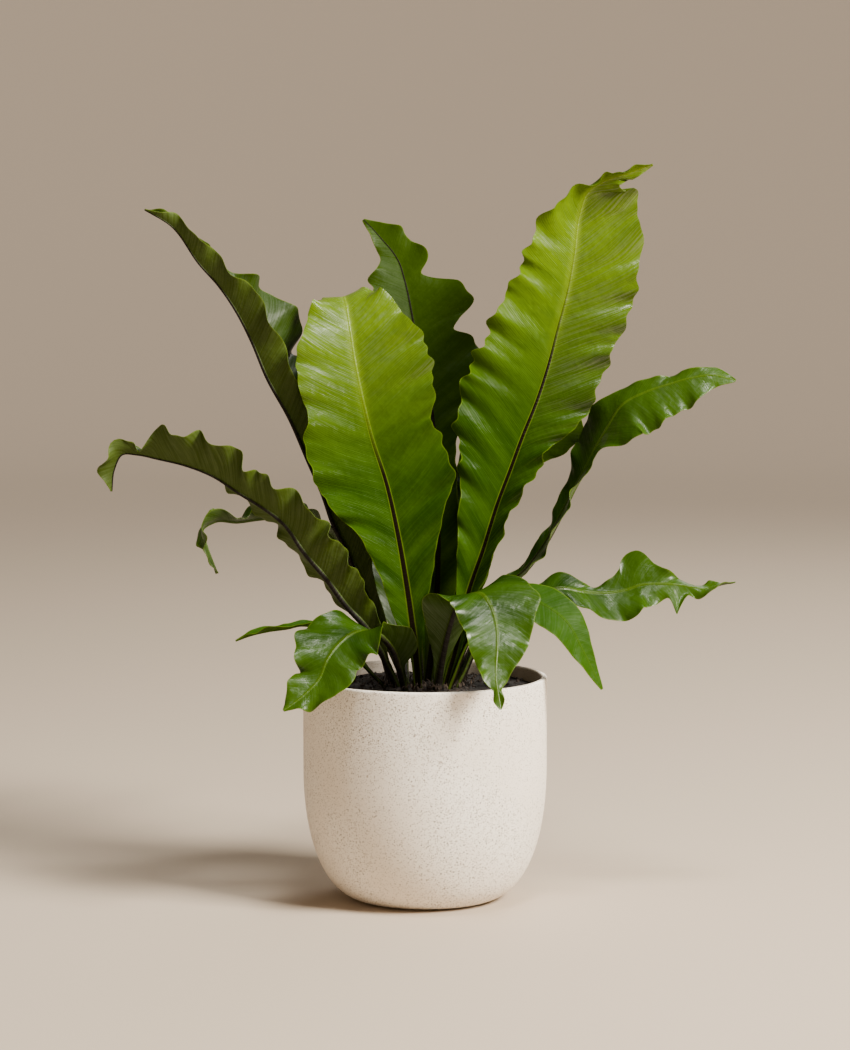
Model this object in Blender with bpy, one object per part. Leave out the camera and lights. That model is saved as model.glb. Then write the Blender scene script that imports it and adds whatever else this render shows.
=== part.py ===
"""Bird's-nest fern in a round-bottomed stoneware pot.

Every frond is one solid: a blade loft around a midrib that thickens into the stipe at its foot.
The pot, the soil and the crown are turned about the pot's axis.
The frame's origin is on the floor at that axis, +Z points up and the plant's front looks to -Y.
"""

import math

import bpy
import numpy as np

MM = 0.001
SHARP = math.radians(40)  # edges steeper than this stay crisp in the smooth shading

# Driving sizes, in metres.
POT_R = 0.090  # outside of the rim
POT_H = 0.165
POT_WALL = 0.0045
POT_BASE = 0.008  # thickness of the pot's bottom
FOOT_R = 0.045  # edge of the flat foot
BELLY_H = 0.0985  # height at which the curved bottom meets the straight side
BELLY_POWER = 2.2  # 2 would be an ellipse
LIP_ROUND = 0.0015
SOIL_DROP = 0.008  # soil surface below the rim
SOIL_FALL = 0.0015  # soil surface at the wall below the soil surface at the crown
CROWN_MARGIN = 0.0008  # crown beyond the outermost stipe
CROWN_RISE = 0.003  # crown above the soil surface
CROWN_SUNK = 0.012  # crown below the soil surface
GAP = 0.0004  # clearance between neighbouring solids
BLADE = 0.0009  # leaf thickness
STIPE_R = 0.0028  # half the width of the midrib at the foot of a large frond

SOIL_Z = POT_H - SOIL_DROP
CROWN_TOP = SOIL_Z + CROWN_RISE

# Mesh density.
POT_SEGMENTS = 48  # of the pot and the soil, whose facets stay parallel
CROWN_SEGMENTS = 24
BELLY_STEPS = 6
LIP_STEPS = 2
ACROSS = (0.5, 1.0)  # columns of a half blade, as shares of the way from midrib to margin
VEIN_SLANT = 0.55  # how far the veins run tipwards for each unit they run outwards

# Width of the midrib along a frond, as shares of the width at its foot.
RIB_TAPER = [(0.0, 1.0), (0.25, 0.72), (0.6, 0.42), (1.0, 0.15)]
RIB_DROP = 1.0  # midrib below the blade, as a share of its half width
RIB_RISE = 0.35
RIB_EDGE = 1.12  # the blade proper starts this far out, as a share of the midrib's half width
NARROWEST = 1.02  # least half width of a frond, as a share of where its blade starts

# How strong the ruffle of the margin and the slant of the veins are along a frond.
RUFFLE_REACH = [(0.0, 0.0), (0.18, 0.4), (0.4, 1.0), (0.88, 1.0), (1.0, 0.2)]
SLANT_REACH = [(0.0, 0.0), (0.25, 1.0), (0.8, 1.0), (1.0, 0.0)]

# Each frond has stations from foot to tip: x, y, height above the soil, and the half widths of the
# blade on the left and on the right, seen from the side of its upper face, all in millimetres.
# "facing" is the compass angle to which the upper face looks at the foot, in degrees from +X.
# "fold" lifts the left and right half blades towards the upper face, "curl" bends them further on
# the way to the margin and "roll" turns the whole blade about its midrib, in degrees at shares of
# the length. "lean" turns the veins of each half tipwards, in degrees. "ruffle" is the height,
# wavelength and phase of the waves on each margin. "steps" is the number of rings in each stretch
# between two stations.
FRONDS = {
    "frond_front_left": {
        "facing": -90,
        "steps": 2,
        "stations": [
            (-5, -22, 0, 3, 3), (-7, -22, 30, 5, 5), (-10, -20, 54, 13, 11), (-14, -18, 81, 18, 20),
            (-20, -14, 115, 28, 33), (-28, -8, 150, 48, 51), (-39, -1, 184, 51, 47),
            (-45, 6, 208, 43, 55), (-51, 15, 236, 45, 56), (-56, 28, 266, 34, 42),
            (-59, 42, 282, 25, 29), (-61, 56, 286, 18, 19), (-63, 72, 281, 9, 10),
            (-63, 82, 273, 1, 1),
        ],
        "fold": ([(0, 25), (0.3, 14), (1, 10)], [(0, 25), (0.3, 10), (1, 6)]),
        "ruffle": ((2.5, 31, 0.1), (2.5, 29, 0.6)),
    },
    "frond_tall": {
        "facing": -90,
        "steps": 2,
        "stations": [
            (16, -10, 0, 3, 3), (24, -9, 32, 6, 6), (33, -5, 72, 11, 12), (43, -2, 101, 21, 14),
            (54, 2, 136, 31, 17), (63, 4, 160, 42, 22), (71, 6, 182, 53, 24), (83, 9, 212, 58, 40),
            (91, 11, 237, 53, 42), (98, 14, 264, 49, 46), (105, 17, 290, 42, 50),
            (110, 20, 317, 36, 50), (114, 24, 346, 28, 44), (120, 22, 363, 12, 36),
            (132, 16, 371, 5, 12), (150, 10, 377, 6, 6), (166, 6, 383, 1, 1),
        ],
        "fold": ([(0, 25), (0.3, 8), (1, 8)], [(0, 60), (0.3, 50), (0.5, 20), (1, 10)]),
        "curl": ([(0, 0), (0.76, 0), (0.88, 60), (1, 60)], 0),
        "lean": (0, [(0, 0), (0.72, 0), (0.84, 25), (0.91, 55), (0.96, 40), (1, 0)]),
        "ruffle": ((3, 29, 0.3), (3, 27, 0.0)),
    },
    "frond_lobed": {
        "facing": -90,
        "steps": 2,
        "stations": [
            (2, 4, 0, 3, 3), (6, 8, 33, 6, 6), (9, 12, 70, 12, 14), (10, 18, 107, 18, 18),
            (10, 30, 150, 22, 14), (7, 42, 187, 30, 18), (3, 52, 215, 36, 40), (-2, 60, 236, 34, 46),
            (-7, 68, 256, 26, 31), (-10, 75, 273, 22, 46), (-13, 81, 288, 28, 42),
            (-16, 87, 300, 27, 14), (-20, 92, 312, 20, 24), (-25, 95, 320, 12, 17),
            (-32, 98, 328, 8, 17), (-39, 100, 336, 5, 9), (-47, 102, 344, 1, 1),
        ],
        "fold": (8, 8),
        "ruffle": ((2, 35, 0.2), (2, 33, 0.7)),
    },
    "frond_left_tall": {
        "facing": 0,
        "steps": 2,
        "stations": [
            (-14, -6, 0, 3, 3), (-23, -2, 23, 4, 4), (-35, 2, 47, 8, 6), (-45, 6, 69, 12, 8),
            (-58, 11, 100, 18, 10), (-68, 14, 120, 22, 12), (-75, 16, 140, 22, 14),
            (-86, 18, 165, 20, 22), (-100, 19, 197, 22, 34), (-116, 18, 226, 22, 42),
            (-128, 15, 255, 22, 50), (-139, 10, 277, 22, 38), (-151, 5, 295, 18, 18),
            (-164, 0, 310, 16, 13), (-185, -8, 339, 9, 9), (-203, -12, 350, 1, 1),
        ],
        "fold": ([(0, 40), (0.3, 65), (1, 60)], [(0, 40), (0.4, 60), (0.6, 50), (1, 50)]),
        "ruffle": ((4, 42, 0.1), (7, 40, 0.5)),
    },
    "frond_left_arching": {
        "facing": 0,
        "steps": 1,
        "stations": [
            (-21, -13, 0, 3, 3), (-31, -15, 25, 5, 5), (-41, -17, 43, 12, 8), (-59, -20, 64, 21, 12),
            (-71, -22, 81, 25, 14), (-89, -24, 103, 28, 16), (-102, -25, 122, 27, 16),
            (-120, -26, 136, 25, 14), (-133, -26, 144, 24, 12), (-155, -25, 158, 32, 12),
            (-173, -25, 165, 30, 12), (-194, -24, 170, 30, 12), (-209, -23, 173, 8, 6),
            (-220, -22, 173, 12, 10), (-226, -22, 162, 12, 10), (-228, -22, 146, 1, 1),
        ],
        "fold": ([(0, 40), (0.2, 72), (0.6, 62), (1, 50)],
                 [(0, 20), (0.15, -20), (0.5, -35), (0.7, 0), (1, 30)]),
        "ruffle": ((5, 24, 0.1), (3, 30, 0.5)),
    },
    "frond_left_back": {
        "facing": 0,
        "steps": 1,
        "stations": [
            (-25, 5, 0, 3, 3), (-32, 12, 26, 4, 4), (-40, 20, 50, 5, 5), (-49, 28, 71, 7, 8),
            (-58, 36, 90, 12, 12), (-69, 40, 106, 18, 18), (-85, 40, 117, 18, 18),
            (-101, 38, 122, 14, 16), (-122, 34, 121, 12, 16), (-140, 29, 119, 12, 14),
            (-156, 20, 120, 14, 12), (-165, 18, 114, 10, 8), (-162, 17, 103, 6, 5),
            (-158, 16, 92, 5, 4), (-154, 16, 82, 1, 1),
        ],
        "fold": (20, 30),
        "ruffle": ((4, 34, 0.1), (4, 30, 0.5)),
    },
    "frond_left_small": {
        "facing": 0,
        "steps": 1,
        "stations": [
            (-31, -10, 0, 2, 2), (-40, -14, 13, 2, 2), (-49, -17, 23, 3, 3), (-62, -20, 35, 5, 5),
            (-78, -22, 46, 8, 7), (-91, -23, 48, 5, 5), (-100, -24, 46, 4, 4),
            (-114, -25, 44, 9, 6), (-127, -26, 41, 5, 4), (-138, -27, 37, 1, 1),
        ],
        "stipe": 0.7,
        "fold": ([(0, 0), (0.35, 45), (1, 45)], [(0, 0), (0.35, 20), (1, 20)]),
        "ruffle": ((1, 30, 0.1), (1, 30, 0.5)),
    },
    "frond_front_low": {
        "facing": 45,
        "steps": 2,
        "stations": [
            (-15, -27, 0, 3, 3), (-19, -30, 18, 5, 4), (-23, -33, 30, 20, 8), (-28, -37, 38, 22, 12),
            (-35, -42, 45, 12, 15), (-42, -47, 47, 20, 19), (-52, -55, 46, 28, 28),
            (-62, -64, 39, 30, 32), (-70, -73, 29, 26, 26), (-75, -80, 17, 24, 18),
            (-86, -88, 6, 15, 16), (-100, -95, -4, 1, 1),
        ],
        "roll": [(0, 0), (0.3, -10), (0.5, -35), (1, -35)],
        "fold": ([(0, 0), (0.25, 40), (0.38, 30), (0.5, 5), (1, 5)], 5),
        "ruffle": ((3, 36, 0.1), (3, 34, 0.5)),
    },
    "frond_front_right": {
        "facing": 117,
        "steps": 2,
        "stations": [
            (9, -25, 0, 3, 3), (13, -27, 27, 6, 8), (18, -31, 49, 14, 20), (23, -36, 64, 20, 27),
            (30, -44, 72, 24, 26), (40, -56, 75, 32, 26), (47, -68, 67, 35, 27), (51, -80, 52, 27, 23),
            (51, -90, 40, 21, 21), (50, -98, 27, 14, 13), (50, -105, 18, 8, 9),
            (51, -109, 12, 3, 3), (52, -112, 6, 4, 4), (53, -115, 0, 1, 1),
        ],
        "roll": [(0, 0), (0.3, 0), (0.55, 40), (1, 40)],
        "fold": (5, 5),
        "ruffle": ((2, 36, 0.1), (2, 34, 0.5)),
    },
    "frond_right_pointed": {
        "facing": 180,
        "steps": 2,
        "stations": [
            (18, -19, 0, 3, 3), (28, -20, 30, 4, 4), (40, -21, 53, 6, 6), (55, -22, 67, 9, 9),
            (71, -23, 69, 13, 13), (87, -25, 63, 16, 18), (103, -27, 51, 15, 17),
            (114, -29, 32, 9, 11), (122, -30, 16, 5, 6), (129, -31, 2, 1, 1),
        ],
        "roll": [(0, 0), (0.4, 25), (0.6, 45), (1, 45)],
        "fold": (5, 5),
        "ruffle": ((0.6, 36, 0.1), (0.6, 34, 0.5)),
    },
    "frond_right_low": {
        "facing": 180,
        "steps": 1,
        "stations": [
            (25, -11, 0, 3, 3), (36, -10, 28, 4, 4), (52, -8, 51, 5, 5), (70, -3, 63, 7, 7),
            (89, 3, 70, 12, 8), (100, 6, 72, 16, 10), (118, 9, 69, 8, 18), (133, 10, 68, 9, 26),
            (148, 10, 70, 18, 26), (160, 10, 74, 30, 22), (170, 9, 75, 17, 18), (180, 8, 75, 10, 11),
            (189, 8, 74, 9, 25), (196, 7, 73, 6, 8), (209, 6, 72, 8, 8), (219, 5, 75, 5, 5),
            (229, 4, 77, 1, 1),
        ],
        "fold": ([(0, 20), (0.5, 55), (0.72, 75), (0.85, 40), (1, 10)],
                 [(0, 20), (0.45, -50), (0.75, -65), (0.85, -75), (0.9, -40), (1, 0)]),
        "ruffle": ((3, 36, 0.1), (3, 34, 0.5)),
    },
    "frond_right_tall": {
        "facing": 180,
        "steps": 1,
        "stations": [
            (23, -2, 0, 3, 3), (33, -1, 26, 4, 4), (45, 0, 53, 5, 5), (55, 1, 70, 7, 7),
            (74, 2, 86, 8, 14), (87, 3, 103, 8, 16), (100, 4, 126, 9, 16), (110, 5, 146, 12, 12),
            (118, 5, 161, 18, 12), (126, 5, 177, 24, 16), (134, 4, 191, 24, 30),
            (145, 2, 208, 15, 36), (161, -1, 217, 11, 34), (178, -4, 223, 9, 28),
            (195, -8, 228, 8, 22), (210, -11, 230, 8, 12), (226, -14, 226, 1, 1),
        ],
        "roll": [(0, 0), (0.55, 0), (0.75, 30), (1, 30)],
        "fold": ([(0, 30), (0.5, 40), (0.7, 20), (1, 10)],
                 [(0, 20), (0.2, -10), (0.5, 0), (0.65, -10), (1, -20)]),
        "ruffle": ((2, 36, 0.1), (2, 34, 0.5)),
    },
    "frond_right_back": {
        "facing": -110,
        "steps": 2,
        "stations": [
            (18, 4, 0, 3, 3), (25, 10, 30, 5, 5), (34, 17, 62, 10, 7), (45, 23, 95, 15, 7),
            (57, 28, 125, 20, 5), (70, 33, 151, 24, 6), (82, 37, 170, 26, 12),
            (93, 40, 183, 22, 22), (101, 43, 191, 16, 23), (108, 47, 198, 8, 12),
            (112, 50, 203, 1, 1),
        ],
        "fold": (20, 10),
        "ruffle": ((2, 36, 0.1), (2, 34, 0.5)),
    },
    "frond_back_left": {
        "facing": -70,
        "steps": 2,
        "stations": [
            (-15, 4, 0, 3, 3), (-17, 10, 26, 5, 5), (-22, 22, 54, 12, 12), (-28, 36, 82, 20, 20),
            (-35, 50, 119, 24, 24), (-43, 62, 156, 30, 30), (-49, 74, 193, 34, 34),
            (-53, 88, 226, 30, 30), (-56, 104, 249, 20, 20), (-58, 124, 256, 1, 1),
        ],
        "fold": (15, 15),
        "ruffle": ((3, 30, 0.1), (3, 30, 0.5)),
    },
    "frond_back_right": {
        "facing": -120,
        "steps": 2,
        "stations": [
            (12, 15, 0, 3, 3), (20, 24, 40, 8, 8), (31, 38, 85, 16, 16), (44, 56, 130, 24, 24),
            (57, 80, 175, 30, 30), (70, 110, 210, 30, 30), (84, 144, 226, 22, 22),
            (96, 174, 218, 12, 12), (104, 196, 198, 1, 1),
        ],
        "fold": (15, 15),
        "ruffle": ((3, 36, 0.1), (3, 34, 0.5)),
    },
    "frond_back": {
        "facing": -90,
        "steps": 2,
        "stations": [
            (-3, 16, 0, 3, 3), (-6, 28, 40, 8, 8), (-11, 44, 80, 15, 15), (-17, 66, 122, 22, 22),
            (-22, 98, 164, 28, 28), (-26, 138, 192, 28, 28), (-28, 178, 196, 22, 22),
            (-28, 210, 176, 12, 12), (-26, 230, 150, 1, 1),
        ],
        "fold": (15, 15),
        "ruffle": ((3, 36, 0.1), (3, 34, 0.5)),
    },
    "frond_back_low": {
        "facing": -90,
        "steps": 2,
        "stations": [
            (4, 25, 0, 3, 3), (3, 36, 30, 5, 5), (1, 52, 58, 10, 10), (-2, 76, 80, 16, 16),
            (-3, 106, 88, 22, 22), (-2, 136, 76, 20, 20), (0, 160, 52, 12, 12), (2, 174, 24, 1, 1),
        ],
        "fold": (15, 15),
        "ruffle": ((2, 30, 0.1), (2, 30, 0.5)),
    },
}


def clear_scene():
    for obj in list(bpy.data.objects):
        bpy.data.objects.remove(obj, do_unlink=True)


def add_material(name, colour, roughness):
    """A Principled material; colour is linear RGB."""
    material = bpy.data.materials.new(name)
    material.use_nodes = True
    shader = material.node_tree.nodes["Principled BSDF"]
    shader.inputs["Base Color"].default_value = (*colour, 1.0)
    shader.inputs["Roughness"].default_value = roughness
    return material


def add_object(name, points, faces, material):
    """A closed mesh object whose faces look outwards."""
    mesh = bpy.data.meshes.new(name)
    mesh.from_pydata([tuple(map(float, point)) for point in points], [], faces)
    mesh.validate()
    mesh.materials.append(material)
    obj = bpy.data.objects.new(name, mesh)
    bpy.context.scene.collection.objects.link(obj)
    mesh.calc_loop_triangles()
    corners = [[mesh.vertices[i].co for i in triangle.vertices] for triangle in mesh.loop_triangles]
    if sum(a.dot(b.cross(c)) for a, b, c in corners) < 0:
        mesh.flip_normals()
    mesh.shade_smooth()
    mesh.set_sharp_from_angle(angle=SHARP)
    return obj


def turned(name, profile, segments, material):
    """Turns a profile of (radius, height) about Z; its first and last points are on the axis."""
    points = [(0.0, 0.0, profile[0][1])]
    for radius, height in profile[1:-1]:
        for i in range(segments):
            angle = 2 * math.pi * i / segments
            points.append((radius * math.cos(angle), radius * math.sin(angle), height))
    points.append((0.0, 0.0, profile[-1][1]))
    last = len(points) - 1
    rows = len(profile) - 2
    faces = []
    for i in range(segments):
        j = (i + 1) % segments
        faces.append((0, 1 + j, 1 + i))
        for row in range(rows - 1):
            low, high = 1 + row * segments, 1 + (row + 1) * segments
            faces.append((low + i, low + j, high + j, high + i))
        top = 1 + (rows - 1) * segments
        faces.append((last, top + i, top + j))
    return add_object(name, points, faces, material)


def belly(foot, side, low, high):
    """The curved bottom from (foot, low) to (side, high), as (radius, height)."""
    points = []
    for step in range(BELLY_STEPS + 1):
        angle = math.pi / 2 * step / BELLY_STEPS
        out = math.sin(angle) ** (2 / BELLY_POWER)
        up = 1 - math.cos(angle) ** (2 / BELLY_POWER)
        points.append((foot + (side - foot) * out, low + (high - low) * up))
    return points


def hollow(offset):
    """The pot's inner surface, moved into the hollow by offset."""
    return belly(FOOT_R - POT_WALL - offset, POT_R - POT_WALL - offset, POT_BASE + offset,
                 BELLY_H + offset)


def lip():
    """The rounded rim, from its outer to its inner side."""
    points = []
    for centre, start in ((POT_R - LIP_ROUND, 0.0), (POT_R - POT_WALL + LIP_ROUND, math.pi / 2)):
        for step in range(LIP_STEPS + 1):
            angle = start + math.pi / 2 * step / LIP_STEPS
            points.append((centre + LIP_ROUND * math.cos(angle),
                           POT_H - LIP_ROUND + LIP_ROUND * math.sin(angle)))
    return points


def make_pot(material):
    outside = belly(FOOT_R, POT_R, 0.0, BELLY_H)
    profile = [(0.0, 0.0)] + outside + lip() + hollow(0.0)[::-1] + [(0.0, POT_BASE)]
    return turned("pot", profile, POT_SEGMENTS, material)


def crown_radius():
    feet = [math.hypot(*frond["stations"][0][:2]) * MM for frond in FRONDS.values()]
    return max(feet) + STIPE_R + CROWN_MARGIN


def make_soil(material):
    """Fills the pot up to SOIL_DROP below the rim, with a pit for the crown."""
    pit = crown_radius() + GAP
    floor = SOIL_Z - CROWN_SUNK
    side = POT_R - POT_WALL - GAP
    profile = [(0.0, POT_BASE + GAP)] + hollow(GAP)
    profile += [(side, SOIL_Z - SOIL_FALL), (pit, SOIL_Z), (pit, floor), (0.0, floor)]
    return turned("soil", profile, POT_SEGMENTS, material)


def make_crown(material):
    """The short rootstock that all stipes stand on."""
    low = SOIL_Z - CROWN_SUNK + GAP
    side = crown_radius()
    profile = [(0.0, low), (side, low), (side, CROWN_TOP - CROWN_MARGIN / 2),
               (side - CROWN_MARGIN / 2, CROWN_TOP), (0.0, CROWN_TOP)]
    return turned("crown", profile, CROWN_SEGMENTS, material)


def unit(vectors):
    return vectors / np.linalg.norm(vectors, axis=-1, keepdims=True)


def through(knots, values, at, monotone=False):
    """A smooth curve through values at knots; a monotone one never overshoots a value."""
    knots, values, at = (np.asarray(item, float) for item in (knots, values, at))
    values = values.reshape(len(knots), -1)
    steps = np.diff(knots)[:, None]
    rates = np.diff(values, axis=0) / steps
    slopes = np.concatenate([rates[:1], np.zeros_like(values[2:]), rates[-1:]])
    slopes[1:-1] = (steps[1:] * rates[:-1] + steps[:-1] * rates[1:]) / (steps[:-1] + steps[1:])
    if monotone:
        limit = 2 * np.minimum(abs(rates[:-1]), abs(rates[1:]))
        limit[rates[:-1] * rates[1:] <= 0] = 0
        slopes[1:-1] = np.clip(slopes[1:-1], -limit, limit)
    span = np.clip(np.searchsorted(knots, at, side="right") - 1, 0, len(knots) - 2)
    t = np.clip((at - knots[span]) / steps[span, 0], 0, 1)[..., None]
    start, end, width = values[span], values[span + 1], steps[span]
    curve = start + (end - start) * (3 - 2 * t) * t * t
    return curve + width * t * (1 - t) * ((1 - t) * slopes[span] - t * slopes[span + 1])


def along(pairs, at):
    """The value at each share of the length: pairs is one number or a list of (share, value)."""
    if not isinstance(pairs, list):
        return np.full(np.shape(at), float(pairs))
    shares, values = zip(*pairs)
    return through(shares, values, at, monotone=True)[..., 0]


def midrib(frond, samples=400):
    """The centre line of a frond with its frame, finely sampled, and the stations' shares."""
    stations = np.array(frond["stations"], float) * MM
    points = stations[:, :3] + (0, 0, SOIL_Z)
    points[0, 2] = CROWN_TOP + GAP
    chord = np.linalg.norm(np.diff(points, axis=0), axis=1)
    knots = np.concatenate([[0], np.cumsum(chord)])
    dense = through(knots, points, np.linspace(0, knots[-1], 4 * samples))
    walked = np.concatenate([[0], np.cumsum(np.linalg.norm(np.diff(dense, axis=0), axis=1))])
    nearest = [np.argmin(np.linalg.norm(dense - point, axis=1)) for point in points]
    length = walked[-1]
    share = np.linspace(0, 1, samples)
    line = np.stack([np.interp(share * length, walked, axis) for axis in dense.T], 1)
    tangent = unit(np.gradient(line, axis=0))
    facing = math.radians(frond["facing"])
    upper = np.zeros_like(line)
    upper[0] = (math.cos(facing), math.sin(facing), 0)
    for i in range(samples):
        carried = upper[max(i - 1, 0)]
        upper[i] = unit(carried - tangent[i] * (carried @ tangent[i]))
    right = np.cross(tangent, upper)
    roll = np.radians(along(frond.get("roll", 0), share))[:, None]
    upper = upper * np.cos(roll) + right * np.sin(roll)
    frame = {"line": line, "upper": upper, "right": np.cross(tangent, upper), "tangent": tangent}
    return share, length, frame, walked[nearest] / length, stations[:, 3:]


def pick(vectors, share, where):
    """Vectors sampled along the midrib, read at each share in where."""
    return np.stack([np.interp(where, share, axis) for axis in vectors.T], -1)


def half_blade(frond, side, at, rib, traced):
    """Columns of points of a half blade, from the midrib to the margin."""
    share, length, frame, knots, widths = traced
    index = 1 if side > 0 else 0
    height, wavelength, phase = frond["ruffle"][index]
    columns = []
    edge = rib * RIB_EDGE
    slant = VEIN_SLANT * widths.mean() / length * along(SLANT_REACH, at)
    for part in (0.0,) + tuple(ACROSS):
        where = at + slant * part
        width = through(knots, widths[:, index], where, monotone=True)[:, 0]
        width = np.maximum(width, edge * NARROWEST)
        out = edge + (width - edge) * part
        fold = np.radians(along(frond["fold"][index], where))
        curl = np.radians(along(frond.get("curl", (0, 0))[index], where)) + 1e-5
        bend = curl / width
        angle = fold + bend * out
        sideways = (np.sin(angle) - np.sin(fold)) / bend
        upwards = (np.cos(fold) - np.cos(angle)) / bend
        lean = np.radians(along(frond.get("lean", (0, 0))[index], where))[:, None]
        across = unit(pick(frame["right"], share, where)) * side * np.cos(lean)
        across = across + unit(pick(frame["tangent"], share, where)) * np.sin(lean)
        upper = unit(pick(frame["upper"], share, where))
        outwards = upper * np.cos(angle)[:, None] - across * np.sin(angle)[:, None]
        wave = 2 * math.pi * (at * length / MM / wavelength + phase)
        swell = np.sin(wave) + 0.35 * np.sin(1.73 * wave + 1.9)
        lift = height * MM * swell * along(RUFFLE_REACH, at) * (out / width) ** 1.7 * (part > 0)
        points = pick(frame["line"], share, where)
        points = points + across * sideways[:, None] + upper * upwards[:, None]
        columns.append(points + outwards * lift[:, None])
    return columns


def make_frond(name, frond, material):
    traced = midrib(frond)
    share, length, frame, knots, widths = traced
    steps = frond["steps"]
    inner = [knots[:-1] + (knots[1:] - knots[:-1]) * i / steps for i in range(steps)]
    at = np.append(np.sort(np.concatenate(inner)), 1.0)
    rib = STIPE_R * frond.get("stipe", 1.0) * along(RIB_TAPER, at)
    left = half_blade(frond, -1, at, rib, traced)
    right = half_blade(frond, 1, at, rib, traced)
    centre = pick(frame["line"], share, at)
    grid = np.stack(left[::-1] + [centre] + right, 1)
    upper = unit(np.cross(np.gradient(grid, axis=1), np.gradient(grid, axis=0)))
    crest = np.zeros((len(at), grid.shape[1], 1))
    crest[:, grid.shape[1] // 2, 0] = rib
    above = grid + upper * (BLADE / 2 + RIB_RISE * crest)
    below = grid - upper * (BLADE / 2 + RIB_DROP * crest)
    rings = np.concatenate([above, below[:, ::-1]], axis=1)
    tangent = frame["tangent"][0]
    foot = rings[0]
    rings[0] = foot + tangent * ((centre[0, 2] - foot[:, 2:]) / tangent[2])
    return add_object(name, rings.reshape(-1, 3), skin(*rings.shape[:2]), material)


def skin(count, size):
    """Triangles of a closed frond of count rings with size points each.

    Each ring runs over the upper face and back over the lower one. Both faces split their quads
    along the same diagonal, outwards and tipwards, so that a twisted blade never crosses itself.
    """
    middle = size // 4
    out = [abs(min(j, size - 1 - j) - middle) for j in range(size)]
    faces = []
    for i in range(count - 1):
        for j in range(size):
            k = (j + 1) % size
            a, b = i * size + j, i * size + k
            c, d = b + size, a + size
            faces += [(a, b, c), (a, c, d)] if out[k] >= out[j] else [(a, b, d), (b, c, d)]
    for j in range(size // 2 - 1):
        cap = (j, j + 1, size - 2 - j, size - 1 - j)
        faces.append(cap[::-1])
        faces.append(tuple((count - 1) * size + i for i in cap))
    return faces


def main():
    clear_scene()
    stoneware = add_material("stoneware", (0.78, 0.71, 0.62), 0.75)
    earth = add_material("earth", (0.020, 0.014, 0.010), 0.95)
    rootstock = add_material("rootstock", (0.045, 0.030, 0.015), 0.9)
    leaf = add_material("leaf", (0.10, 0.22, 0.02), 0.35)
    make_pot(stoneware)
    make_soil(earth)
    make_crown(rootstock)
    for name, frond in FRONDS.items():
        make_frond(name, frond, leaf)


main()
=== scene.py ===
"""Looks of the bird's-nest fern in its round-bottomed stoneware pot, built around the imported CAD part.

Each CAD frond is replaced by a finely ruffled one on the same midrib, the pot by a finely turned one,
and the soil and the crown by rough ones with bark, perlite and scales.
"""

import math

import bmesh
import bpy
import numpy as np
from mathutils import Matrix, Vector, noise


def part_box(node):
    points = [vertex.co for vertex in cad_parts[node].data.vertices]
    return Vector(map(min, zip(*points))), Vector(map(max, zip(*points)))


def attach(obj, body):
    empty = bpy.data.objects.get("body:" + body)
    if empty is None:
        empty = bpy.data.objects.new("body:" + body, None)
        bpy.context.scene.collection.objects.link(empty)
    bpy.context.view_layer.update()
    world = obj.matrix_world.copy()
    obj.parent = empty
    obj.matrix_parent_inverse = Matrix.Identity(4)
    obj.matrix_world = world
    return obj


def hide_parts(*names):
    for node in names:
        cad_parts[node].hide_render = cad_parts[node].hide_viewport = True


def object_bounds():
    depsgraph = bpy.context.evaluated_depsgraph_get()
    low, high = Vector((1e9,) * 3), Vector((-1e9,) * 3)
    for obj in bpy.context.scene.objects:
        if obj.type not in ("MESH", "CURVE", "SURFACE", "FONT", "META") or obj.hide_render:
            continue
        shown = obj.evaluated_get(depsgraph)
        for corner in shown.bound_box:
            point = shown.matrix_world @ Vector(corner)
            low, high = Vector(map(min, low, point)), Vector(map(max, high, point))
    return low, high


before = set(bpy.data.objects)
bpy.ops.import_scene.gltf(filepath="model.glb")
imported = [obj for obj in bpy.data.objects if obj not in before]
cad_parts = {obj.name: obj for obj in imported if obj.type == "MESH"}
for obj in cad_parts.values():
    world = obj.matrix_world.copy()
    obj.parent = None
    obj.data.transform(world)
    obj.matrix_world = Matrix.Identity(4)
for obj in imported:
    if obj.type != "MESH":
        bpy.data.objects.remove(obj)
cad_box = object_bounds()

MM = 0.001

# Sizes read from the CAD parts, in metres.
POT_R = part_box("pot")[1].x
POT_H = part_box("pot")[1].z
SOIL_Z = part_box("soil")[1].z
CROWN_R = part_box("crown")[1].x
CROWN_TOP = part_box("crown")[1].z

# The rest of the pot's and the fronds' shape, as the CAD model has it.
POT_WALL = 0.0045
POT_BASE = 0.008
FOOT_R = 0.045
BELLY_H = 0.0985
BELLY_POWER = 2.2
LIP_ROUND = 0.0015
SOIL_FALL = 0.0015
GAP = 0.0004
STIPE_R = 0.0028
VEIN_SLANT = 0.55
RIB_TAPER = [(0.0, 1.0), (0.25, 0.72), (0.6, 0.42), (1.0, 0.15)]
RIB_DROP = 1.0
RIB_RISE = 0.35
RIB_EDGE = 1.12
NARROWEST = 1.02
RUFFLE_REACH = [(0.0, 0.0), (0.18, 0.4), (0.4, 1.0), (0.88, 1.0), (1.0, 0.2)]
SLANT_REACH = [(0.0, 0.0), (0.25, 1.0), (0.8, 1.0), (1.0, 0.0)]

# Mesh density.
RINGS = 230  # along a frond
RIB_COLUMNS = np.array([0.0, 0.2, 0.4, 0.6, 0.8])  # shares of the midrib's half width
BLADE_COLUMNS = np.append(np.linspace(0, 0.975, 22), (0.992, 1.0))  # shares of a half blade
POT_SEGMENTS = 256
BELLY_STEPS = 48
LIP_STEPS = 8
WALL_STEPS = 12
SOIL_SEGMENTS = 240
SOIL_ROWS = 90
CROWN_SEGMENTS = 160
CROWN_ROWS = 40
SCALE_ROWS = 7

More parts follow.
